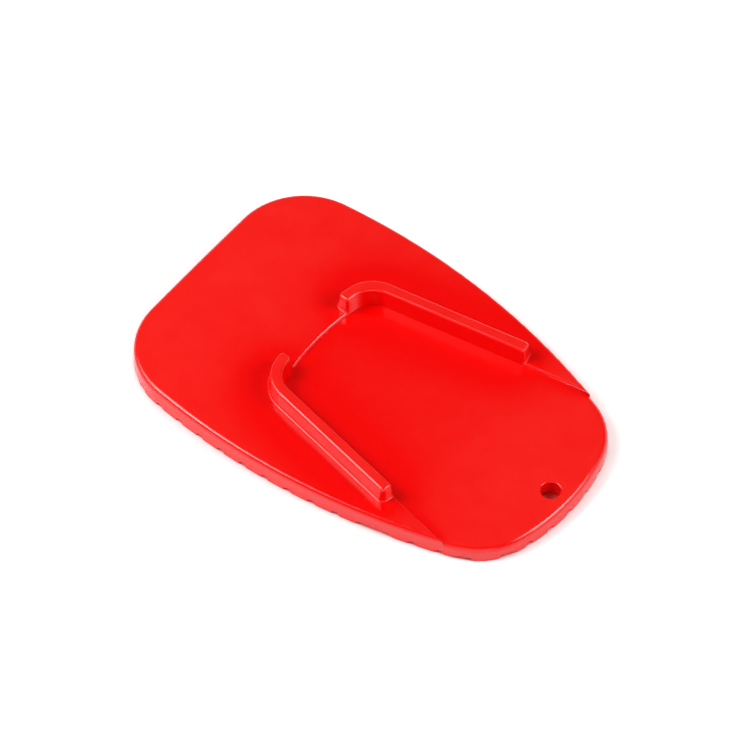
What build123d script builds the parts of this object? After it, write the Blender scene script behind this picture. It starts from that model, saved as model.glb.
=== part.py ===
from build123d import *
import math
import os

# Driving dimensions, in millimetres and degrees.
# The pad lies flat with its nose towards +X and its lugs on the ground at Z = 0.

# Outline of the pad in plan
pad_length = 105.0
pad_width = 69.4
widest_from_back = 36.6
side_radius = 170.0
nose_radius = 50.5
back_radius = 1500.0
back_corner_radius = 17.5
nose_corner_radius = 15.8

# Raised deck, and the lower floor that the stand's foot slides onto
deck_height = 5.0
step_height = 0.8
deck_rim_radius = 1.1
nose_rim_radius = 1.4

# Channel in the deck, open towards the nose
channel_from_back = 34.4
channel_back_radius = 65.0
channel_back_width = 31.1
channel_splay = 10.6
channel_corner_radius = 5.2

# Two hooked ribs that stand along the channel's edge
rib_height = 4.1
rib_thickness = 3.35
rib_reach = 74.3
rib_end_radius = 1.2
hook_gap = 19.2
draft_angle = 4.0
root_radius = 0.4
edge_radius = 0.7

# Hole for a pull cord, near the nose
hole_diameter = 4.5
hole_from_nose = 5.2
hole_edge_radius = 0.3

# Square lugs under the pad, left between two sets of grooves
lug_pitch = 6.07
groove_width = 2.4
groove_root_width = 1.0
groove_depth = 1.0
first_groove_from_back = 4.5

# Levels and places that follow from the sizes above
back_x = -pad_length / 2
nose_x = pad_length / 2
half_width = pad_width / 2
floor_height = deck_height - step_height
rib_top = deck_height + rib_height
channel_x = back_x + channel_from_back
hole_x = nose_x - hole_from_nose
splay_slope = math.tan(math.radians(channel_splay))
draft_slope = math.tan(math.radians(draft_angle))

# Rounding of the ribs and the step, where a little of the step's wall stays straight above its foot
break_radius = min(edge_radius, 0.9 * step_height)

# How far rough shapes run past the pad before they are trimmed, and how near counts as touching
overrun = half_width
touch = 0.001


def pad_outline():
    """Almost straight back, bulging sides and a blunt nose, with four rounded corners."""
    side_x = back_x + widest_from_back
    side_y = half_width - side_radius
    sides = Pos(side_x, side_y) * Circle(side_radius) & Pos(side_x, -side_y) * Circle(side_radius)
    nose_centre = nose_x - nose_radius
    nose = Pos(nose_centre, 0) * Circle(nose_radius)
    nose += Pos(nose_centre - pad_length / 2, 0) * Rectangle(pad_length, 2 * nose_radius)
    back = Pos(back_x + back_radius, 0) * Circle(back_radius)
    shape = sides & nose & back
    shape = fillet(shape.vertices().group_by(Axis.X)[0], back_corner_radius)
    return fillet(shape.vertices().group_by(Axis.X)[-1], nose_corner_radius)


def channel_outline():
    """Channel's edge at the deck: a shallow arc at the back and two sides that splay towards the nose."""
    front_x = nose_x + 2 * overrun
    start_x = channel_x - overrun
    start_half = channel_back_width / 2 - splay_slope * overrun
    front_half = channel_back_width / 2 + splay_slope * (front_x - channel_x)
    wedge = make_face(Polyline((start_x, -start_half), (front_x, -front_half),
                               (front_x, front_half), (start_x, start_half), close=True))
    back = Pos(channel_x + channel_back_radius, 0) * Circle(channel_back_radius)
    shape = wedge & back
    return fillet(shape.vertices().group_by(Axis.X)[0], channel_corner_radius)


def rib_outline(channel):
    """Foot of one rib with the channel beside it: the outer wall, the hook's end and the front end."""
    inner_y = channel_back_width / 2 + splay_slope * (rib_reach - channel_from_back)
    front = Pos(back_x + rib_reach, inner_y) * Rot(0, 0, channel_splay)
    behind_front = front * Pos(-pad_length, 0) * Rectangle(2 * pad_length, 2 * pad_length)
    beside_gap = Pos(0, hook_gap / 2 + pad_length) * Rectangle(2 * pad_length, 2 * pad_length)
    shape = offset(channel, rib_thickness) & behind_front & beside_gap
    hook_end = shape.vertices().group_by(Axis.Y)[0].sort_by(Axis.X)[0]
    front_end = shape.vertices().sort_by(Axis.Y)[-1]
    return fillet([hook_end, front_end], rib_end_radius)


def level_face(body, height):
    """The upward face of a body at a given height."""
    level = body.faces().filter_by(GeomType.PLANE).filter_by(lambda f: abs(f.center().Z - height) < touch)
    return level.filter_by(lambda f: f.normal_at().Z > 0)[0]


def edges_along(face, outline):
    """Edges of a level face that run along an outline drawn in plan."""
    border = (Pos(0, 0, face.center().Z) * outline).wire()
    return face.edges().filter_by(lambda e: border.distance_to(e @ 0.5) < touch)


def deck_with_ribs(channel):
    """Plate that runs past the pad on all sides, carrying the ribs still filled in on their channel side."""
    plate = extrude(Rectangle(pad_length + 2 * overrun, pad_width + 2 * overrun), deck_height)
    rib = extrude(Pos(0, 0, deck_height) * rib_outline(channel), rib_height, taper=draft_angle)
    body = plate + rib + mirror(rib, Plane.XZ)
    roots = [edge for wire in level_face(body, deck_height).inner_wires() for edge in wire.edges()]
    return fillet(roots, root_radius)


def channel_plug(foot):
    """What the channel takes out: drafted walls from the floor past the ribs' tops."""
    return extrude(Pos(0, 0, floor_height) * foot, step_height + 2 * rib_height, taper=-draft_angle)


def break_edges(body, channel):
    """Rounds the ribs' tops and the step's edge, which runs up the ribs' ends."""
    rib_tops = body.faces().group_by(Axis.Z)[-1]
    sharp = edges_along(level_face(body, deck_height), channel)
    return fillet(sharp + rib_tops.edges(), break_radius)


def rim_waste(outline, height, radius):
    """Sliver that rounding takes off the upper rim of a plate of a given height."""
    slab = extrude(outline, height)
    return slab - fillet(slab.faces().sort_by(Axis.Z)[-1].edges(), radius)


def cord_hole(body):
    """Bores the hole through the nose and rounds its upper edge."""
    drill = Pos(hole_x, 0, 0) * Cylinder(hole_diameter / 2, 2 * rib_top)
    body = body - drill
    mouth = level_face(body, floor_height).inner_wires()[0].edges()
    return fillet(mouth, hole_edge_radius)


def groove(length):
    """One groove along X, as deep below the underside as above it, so that its mouth is open."""
    mouth_half = groove_width - groove_root_width / 2
    root_half = groove_root_width / 2
    section = make_face(Polyline((-mouth_half, -groove_depth), (mouth_half, -groove_depth),
                                 (root_half, groove_depth), (-root_half, groove_depth), close=True))
    return extrude(Plane.YZ * section, length / 2, both=True)


def lug_grooves():
    """Grooves along the pad, one of them on its axis, and grooves across it from the back."""
    side_count = math.ceil(half_width / lug_pitch)
    along = [Pos(0, row * lug_pitch, 0) * groove(pad_length + lug_pitch)
             for row in range(-side_count, side_count + 1)]
    cross_count = math.ceil((pad_length - first_groove_from_back) / lug_pitch)
    first_x = back_x + first_groove_from_back
    across = [Pos(first_x + row * lug_pitch, 0, 0) * Rot(0, 0, 90) * groove(pad_width + lug_pitch)
              for row in range(cross_count)]
    return along + across


def stand_pad():
    """The whole moulding."""
    outline = pad_outline()
    channel = channel_outline()
    foot = offset(channel, -step_height * draft_slope)
    body = break_edges(deck_with_ribs(channel) - channel_plug(foot), channel)
    body = body & extrude(outline, 2 * rib_top)
    body = body - rim_waste(outline, deck_height, deck_rim_radius)
    body = body - (rim_waste(outline, floor_height, nose_rim_radius) & extrude(foot, floor_height))
    return cord_hole(body) - lug_grooves()


os.makedirs("parts", exist_ok=True)
pad = stand_pad()
export_step(pad, "parts/stand_pad.step")
print("stand_pad", round(pad.volume), "cubic mm", pad.bounding_box())
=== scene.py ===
# %% [markdown]
# # A kickstand foot enlarger in glossy red plastic
# A side stand has a small foot, and on soft ground that foot sinks. This pad spreads the load. The foot
# slides in over the nose, between two hooked ribs, and the lugs underneath grip the ground. It is one
# moulding, so the lesson is short on pieces and long on finish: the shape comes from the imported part, and
# everything that the eye reads as plastic comes from one material, the lamps and what they leave to
# reflect.

import math

import bpy
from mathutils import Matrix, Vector
from mathutils.geometry import convex_hull_2d, intersect_point_line


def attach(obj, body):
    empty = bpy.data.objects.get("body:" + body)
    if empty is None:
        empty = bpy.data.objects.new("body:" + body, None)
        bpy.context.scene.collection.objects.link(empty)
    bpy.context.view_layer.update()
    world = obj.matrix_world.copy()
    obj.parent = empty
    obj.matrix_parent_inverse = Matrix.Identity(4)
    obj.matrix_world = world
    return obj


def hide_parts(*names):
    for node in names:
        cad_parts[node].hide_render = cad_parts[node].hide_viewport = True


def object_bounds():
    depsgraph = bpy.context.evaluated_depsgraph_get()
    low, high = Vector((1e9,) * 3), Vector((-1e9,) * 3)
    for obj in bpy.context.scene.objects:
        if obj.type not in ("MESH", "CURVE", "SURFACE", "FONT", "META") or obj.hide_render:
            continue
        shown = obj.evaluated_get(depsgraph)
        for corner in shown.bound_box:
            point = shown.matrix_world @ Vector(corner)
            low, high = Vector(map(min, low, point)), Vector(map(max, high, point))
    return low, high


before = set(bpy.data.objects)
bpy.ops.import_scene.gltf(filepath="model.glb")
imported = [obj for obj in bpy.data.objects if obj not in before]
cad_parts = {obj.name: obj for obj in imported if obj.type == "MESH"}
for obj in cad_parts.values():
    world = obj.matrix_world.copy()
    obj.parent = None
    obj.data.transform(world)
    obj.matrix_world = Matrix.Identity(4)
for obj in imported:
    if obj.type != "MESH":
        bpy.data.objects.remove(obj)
cad_low, cad_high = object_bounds()
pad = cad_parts["stand_pad"]
MM = 0.001
print("pad", [round(size / MM, 2) for size in cad_high - cad_low], "mm,", len(pad.data.polygons), "faces")

# %% [markdown]
# ## Two helpers
# Colours are easiest to read off a picture as sRGB hex values, but shaders work in linear light, so one
# function turns the first into the second. The other function adds one node: its settings, the values of
# its unlinked sockets, and the links that come in. With it, a material reads as a list of nodes from the
# first to the last.

# %% Hex colours and nodes
def linear(hex_colour):
    """Linear RGBA of an sRGB colour such as #C81E14."""
    channels = [int(hex_colour[i:i + 2], 16) / 255 for i in (1, 3, 5)]
    return [c / 12.92 if c <= 0.04045 else ((c + 0.055) / 1.055) ** 2.4 for c in channels] + [1.0]


def add(tree, kind, values=None, links=None, **settings):
    """A new node with its settings, socket values and incoming links."""
    node = tree.nodes.new(kind)
    for name, value in settings.items():
        setattr(node, name, value)
    for socket, value in (values or {}).items():
        node.inputs[socket].default_value = value
    for socket, source in (links or {}).items():
        tree.links.new(source, node.inputs[socket])
    return node


print("middle grey in linear light:", round(linear("#808080")[0], 3))

# %% [markdown]
# ## A smooth rim
# The upper rim of the pad is a quarter round, and it carries the longest highlight in the picture. The
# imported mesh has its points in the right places, but its long thin triangles tilt the normals there, up
# and down and sideways, and the highlight breaks into dashes. Remeshing would lose the true points. The
# normal of a quarter round leans by its height alone and faces straight out from the outline, so a copy
# of the mesh keeps every point and gets its rim normals from that rule instead.

# %% The outline in plan
SHORTEST_SIDE = 0.2 * MM


def outline(mesh):
    """Corners of the pad in plan, without close pairs. It bulges all round, so they are its convex hull."""
    plan = [vertex.co.to_2d() for vertex in mesh.vertices]
    kept = []
    for index in convex_hull_2d(plan):
        if not kept or (plan[index] - kept[-1]).length > SHORTEST_SIDE:
            kept.append(plan[index])
    return kept


def facing(before, corner, after):
    """Outward direction at a corner, square to the circle through it and its two neighbours."""
    one, two = corner - before, after - corner
    along = one.normalized() * two.length + two.normalized() * one.length
    across = Vector((along.y, -along.x)).normalized()
    return across if across.dot(corner) > 0 else -across


corners = outline(pad.data)
sides = [(i, (i + 1) % len(corners)) for i in range(len(corners))]
facings = [facing(corners[i - 1], corners[i], corners[after]) for i, after in sides]
print("outline of", len(corners), "corners")

# %% The rule for the rim's normals
# Top and radius of the rounded rim, around the deck and around the lower nose
DECK_RIM = (5.0 * MM, 1.1 * MM)
NOSE_RIM = (4.2 * MM, 1.4 * MM)
NEAR = 0.03 * MM
WALL_LEAN = 0.02


def nearest_side(point):
    """How far inside the outline a point lies in plan, and the outward direction there."""
    found = []
    for start, end in sides:
        foot, share = intersect_point_line(point, corners[start], corners[end])
        found.append(((foot - point).length, start, end, min(max(share, 0), 1)))
    depth, start, end, share = min(found)
    return depth, facings[start].lerp(facings[end], share).normalized()


def rim_normal(point, normal, depth, outward):
    """The normal of a rim's quarter round at a point, or the old one where the point isn't on a rim."""
    for top, radius in (DECK_RIM, NOSE_RIM):
        lift = point.z - top + radius
        if 0 <= lift <= radius + NEAR and normal.z > WALL_LEAN:
            rise = min(lift / radius, 1)
            level = math.sqrt(1 - rise ** 2)
            if abs(depth - radius * (1 - level)) < NEAR:
                return Vector((outward.x * level, outward.y * level, rise)).normalized()
    return normal


print("rims of", [round(radius / MM, 2) for top, radius in (DECK_RIM, NOSE_RIM)], "mm radius")

# %% The same mesh with true normals along its rim
looks = pad.copy()
looks.data = pad.data.copy()
looks.name = "stand_pad_smooth_rim"
bpy.context.scene.collection.objects.link(looks)
mesh = looks.data
lowest = NOSE_RIM[0] - NOSE_RIM[1] - NEAR
highest = DECK_RIM[0] + NEAR
places = {vertex.index: nearest_side(vertex.co.to_2d()) for vertex in mesh.vertices
          if lowest <= vertex.co.z <= highest}
old_normals = [corner.vector.copy() for corner in mesh.corner_normals]
normals = list(old_normals)
for loop in mesh.loops:
    if loop.vertex_index in places:
        point = mesh.vertices[loop.vertex_index].co
        normals[loop.index] = rim_normal(point, old_normals[loop.index], *places[loop.vertex_index])
mesh.normals_split_custom_set(normals)
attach(looks, "root")
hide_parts("stand_pad")
turns = [math.degrees(old.angle(new)) for old, new in zip(old_normals, normals)]
print("rim normals turned by up to", round(max(turns), 1), "degrees")

# %% [markdown]
# ## Injection-moulded ABS
# The pad is one shot of red ABS in a polished mould. ABS has an index of refraction near 1.54, and 1.56
# matched the picture best, so it reflects just under 5 % of what is straight above it and more at a
# glancing angle. That thin white reflection draws the bright lines along every rounded edge and pales the
# walls.
#
# A moulded face is never quite flat. It sinks a little as it cools and its gloss varies in soft clouds,
# so the reflection comes out mottled. That is at most hundredths of a millimetre deep, too little to
# model, so it is a bump. The finer skin of the mould is a second one.
#
# The red is deep beside the ribs and paler on the open faces. Bounced light gives only part of that, so the
# rest is painted shade: the colour itself goes from a deep red in sheltered spots to a paler red on open
# ones. How open a spot is comes from the ambient occlusion node, which looks a short way around. One look in
# 32 that meets a wall already takes most of the paleness away.

# %% Red ABS, moulded in a polished tool
# The deep red is the plastic's red in the clouds and also painted shade in sheltered spots; the paler red is
# painted light on open faces
DEEP_RED = "#F60100"
OPEN_RED_PAINTED_LIGHT = "#FA221C"
SHELTER = 40.0 * MM
SHELTER_LOOKS = 32
OPEN_FROM = 0.965
CLOUD_SIZE = 7.0 * MM
CLOUD_RANGE = (0.35, 0.65)
CLOUD_STRENGTH = 0.35
GLOSS_RANGE = (0.16, 0.24)
WAVE_DEPTH = 0.02 * MM
GRAIN_SIZE = 0.5 * MM
GRAIN_DEPTH = 0.001 * MM
ABS_IOR = 1.56


def red_abs():
    """Glossy deep red with faint clouds, a slight waviness, and painted shade: deep red in sheltered spots, a
    paler red on open faces.
    """
    material = bpy.data.materials.new("red_abs_injection_moulded")
    material.use_nodes = True
    tree = material.node_tree
    tree.nodes.clear()
    place = add(tree, "ShaderNodeTexCoord")
    clouds = add(tree, "ShaderNodeTexNoise", {"Scale": 1 / CLOUD_SIZE, "Detail": 3.0, "Roughness": 0.6},
                 {"Vector": place.outputs["Object"]})
    grain = add(tree, "ShaderNodeTexNoise", {"Scale": 1 / GRAIN_SIZE, "Detail": 2.0},
                {"Vector": place.outputs["Object"]})
    around = add(tree, "ShaderNodeAmbientOcclusion", {"Distance": SHELTER}, samples=SHELTER_LOOKS)
    openness = add(tree, "ShaderNodeMapRange", {"From Min": OPEN_FROM}, {"Value": around.outputs["AO"]})
    # Painted shade: deep red where walls are close, paler red on open faces
    painted_shade_red = add(tree, "ShaderNodeMix", {"A": linear(DEEP_RED), "B": linear(OPEN_RED_PAINTED_LIGHT)},
                {"Factor": openness.outputs["Result"]}, data_type="RGBA")
    cloud = add(tree, "ShaderNodeMapRange",
                {"From Min": CLOUD_RANGE[0], "From Max": CLOUD_RANGE[1], "To Max": CLOUD_STRENGTH},
                {"Value": clouds.outputs["Fac"]})
    colour = add(tree, "ShaderNodeMix", {"B": linear(DEEP_RED)},
                 {"A": painted_shade_red.outputs["Result"], "Factor": cloud.outputs["Result"]}, data_type="RGBA")
    gloss = add(tree, "ShaderNodeMapRange", {"To Min": GLOSS_RANGE[0], "To Max": GLOSS_RANGE[1]},
                {"Value": clouds.outputs["Fac"]})
    wave = add(tree, "ShaderNodeBump", {"Strength": 1.0, "Distance": WAVE_DEPTH},
               {"Height": clouds.outputs["Fac"]})
    skin = add(tree, "ShaderNodeBump", {"Strength": 1.0, "Distance": GRAIN_DEPTH},
               {"Height": grain.outputs["Fac"], "Normal": wave.outputs["Normal"]})
    plastic = add(tree, "ShaderNodeBsdfPrincipled", {"IOR": ABS_IOR},
                  {"Base Color": colour.outputs["Result"], "Roughness": gloss.outputs["Result"],
                   "Normal": skin.outputs["Normal"]})
    add(tree, "ShaderNodeOutputMaterial", links={"Surface": plastic.outputs["BSDF"]})
    return material


looks.material_slots[0].material = red_abs()
print("material", looks.material_slots[0].material.name)

# %% [markdown]
# ## Table
# The pad lies on a white table. The lamps make it almost white, and a little light of its own for the camera
# and for reflections does the rest. Where the pad shelters the card, under the rim and at the bottom of the
# cord hole, that share fades and the card is painted red there. This painted bounce light and shade stands
# for the red that the pad throws onto it. Light bounced many times in so narrow a gap is slow to trace, so an
# ambient occlusion node measures the shelter and the painted colour stands in for it.

# %% White table
TABLE_SIZE = 12.0
TABLE_DROP = 0.02 * MM
TABLE_SHELTER = 12.0 * MM
TABLE_LOOKS = 8
CARD_WHITE = "#F4F4F4"
# Painted red bounce light and shade for the card where the pad shelters it
PAINTED_RED_BOUNCE = "#F01810"
PAINTED_BOUNCE_RANGE = (0.15, 0.62)
TABLE_GLOW = 0.32
GLOW_RANGE = (0.3, 0.64)


def white_card():
    """Matt white card that shows a little brighter than it lights, with painted red bounce light and shade
    close to the pad.
    """
    material = bpy.data.materials.new("matt_white_card")
    material.use_nodes = True
    tree = material.node_tree
    tree.nodes.clear()
    sky = add(tree, "ShaderNodeAmbientOcclusion", {"Distance": TABLE_SHELTER}, samples=TABLE_LOOKS)
    clear = add(tree, "ShaderNodeMapRange", {"From Min": PAINTED_BOUNCE_RANGE[0], "From Max": PAINTED_BOUNCE_RANGE[1]},
                {"Value": sky.outputs["AO"]})
    # Painted bounce light and shade: the card turns red where the pad shelters it
    card_with_painted_bounce = add(tree, "ShaderNodeMix", {"A": linear(PAINTED_RED_BOUNCE), "B": linear(CARD_WHITE)},
                {"Factor": clear.outputs["Result"]}, data_type="RGBA")
    matt = add(tree, "ShaderNodeBsdfDiffuse", links={"Color": card_with_painted_bounce.outputs["Result"]})
    ray = add(tree, "ShaderNodeLightPath")
    seen = add(tree, "ShaderNodeMath", operation="ADD",
               links={0: ray.outputs["Is Camera Ray"], 1: ray.outputs["Is Glossy Ray"]})
    shown = add(tree, "ShaderNodeMath", operation="ADD",
                links={0: seen.outputs[0], 1: ray.outputs["Is Transmission Ray"]})
    open_share = add(tree, "ShaderNodeMapRange",
                     {"From Min": GLOW_RANGE[0], "From Max": GLOW_RANGE[1], "To Max": TABLE_GLOW},
                     {"Value": sky.outputs["AO"]})
    strength = add(tree, "ShaderNodeMath", operation="MULTIPLY",
                   links={0: shown.outputs[0], 1: open_share.outputs["Result"]})
    glow = add(tree, "ShaderNodeEmission", {"Color": linear("#FFFFFF")}, {"Strength": strength.outputs[0]})
    card = add(tree, "ShaderNodeAddShader", links={0: matt.outputs["BSDF"], 1: glow.outputs["Emission"]})
    add(tree, "ShaderNodeOutputMaterial", links={"Surface": card.outputs["Shader"]})
    return material


# The drop keeps the card out of the plane of the lugs' flat feet, where both would show through each other.
bpy.ops.mesh.primitive_plane_add(size=TABLE_SIZE, location=(0, 0, cad_low.z - TABLE_DROP))
table = bpy.context.object
table.name = "white_table"
table.data.materials.append(white_card())
print("table at", round(table.location.z / MM, 3), "mm")

# %% [markdown]
# ## Light
# Red plastic shows its lamps twice: they light the red, and they shine as white lines in every rounded
# edge. The flat faces mirror a dim part of the room, so the red stays deep there. Two softboxes make the
# lines. One on the left lights the near rim and the near rib, and one at the back right lights the step
# and the hooks. A softbox is brightest before its bulb, so each has a smaller, brighter core. A dim one
# in front lifts the walls that face the camera. Around them the room is white near the table, where the
# walls of the pad mirror it, and grey overhead.

# %% Softboxes
LAMP_DISTANCE = 0.8


def softbox(name, direction, size, radiance):
    """A square lamp that faces the pad. Its power is pi times its area times the radiance that it shows."""
    lamp = bpy.data.lights.new(name, "AREA")
    lamp.shape = "SQUARE"
    lamp.size = size
    lamp.energy = math.pi * size ** 2 * radiance
    box = bpy.data.objects.new(name, lamp)
    towards = Vector(direction).normalized()
    box.location = LAMP_DISTANCE * towards
    box.rotation_euler = towards.to_track_quat("Z", "Y").to_euler()
    bpy.context.scene.collection.objects.link(box)
    print(name, round(lamp.energy, 2), "W")


softbox("left_softbox", direction=(-0.57, -0.36, 0.74), size=0.58, radiance=3.3)
softbox("left_core", direction=(-0.47, -0.45, 0.76), size=0.27, radiance=8.0)
softbox("right_softbox", direction=(0.72, 0.36, 0.59), size=0.46, radiance=3.7)
softbox("right_core", direction=(0.64, 0.33, 0.69), size=0.20, radiance=7.5)
softbox("front_softbox", direction=(0.55, -0.75, 0.36), size=0.70, radiance=0.8)

# %% White and grey room
HORIZON_LEVEL = 1.0
CEILING_LEVEL = 0.06
CEILING_FROM = math.sin(math.radians(25))

world = bpy.data.worlds.new("studio_room")
world.use_nodes = True
tree = world.node_tree
tree.nodes.clear()
way = add(tree, "ShaderNodeTexCoord")
height = add(tree, "ShaderNodeSeparateXYZ", links={"Vector": way.outputs["Generated"]})
level = add(tree, "ShaderNodeMapRange",
            {"From Max": CEILING_FROM, "To Min": HORIZON_LEVEL, "To Max": CEILING_LEVEL},
            {"Value": height.outputs["Z"]})
walls = add(tree, "ShaderNodeBackground", {"Color": linear("#FFFFFF")}, {"Strength": level.outputs["Result"]})
add(tree, "ShaderNodeOutputWorld", links={"Surface": walls.outputs["Background"]})
bpy.context.scene.world = world
print("room from", HORIZON_LEVEL, "at the table to", CEILING_LEVEL, "overhead")

# %% [markdown]
# ## Camera
# The picture looks down on the pad from its front right with a long lens, almost without perspective. The
# pad's origin falls a little right of and below the picture's middle, so the camera aims at a point
# beside it.

# %% Camera
PICTURE_SIZE = (751, 752)
PIXELS_PER_MM = 4.535
ORIGIN_PIXEL = (381.3, 392.8)
AZIMUTH, ELEVATION = math.radians(38.68), math.radians(53.2)
CAMERA_DISTANCE = 2.625
FAR_CLIP = 20.0
SENSOR = 36.0

back = Vector((math.sin(AZIMUTH) * math.cos(ELEVATION), -math.cos(AZIMUTH) * math.cos(ELEVATION),
               math.sin(ELEVATION)))
right = Vector((math.cos(AZIMUTH), math.sin(AZIMUTH), 0))
up = back.cross(right)
middle = [(size - 1) / 2 for size in PICTURE_SIZE]
beside = (ORIGIN_PIXEL[0] - middle[0]) / PIXELS_PER_MM * MM
below = (ORIGIN_PIXEL[1] - middle[1]) / PIXELS_PER_MM * MM
aim = up * below - right * beside

lens = bpy.data.cameras.new("long_lens")
lens.sensor_width = SENSOR
lens.lens = SENSOR * PIXELS_PER_MM / MM * CAMERA_DISTANCE / max(PICTURE_SIZE)
lens.clip_end = FAR_CLIP
camera = bpy.data.objects.new("camera", lens)
camera.location = aim + back * CAMERA_DISTANCE
camera.rotation_euler = back.to_track_quat("Z", "Y").to_euler()
bpy.context.scene.collection.objects.link(camera)
bpy.context.scene.camera = camera
bpy.context.scene.view_settings.view_transform = "Standard"
print("lens", round(lens.lens, 1), "mm at", CAMERA_DISTANCE, "m")
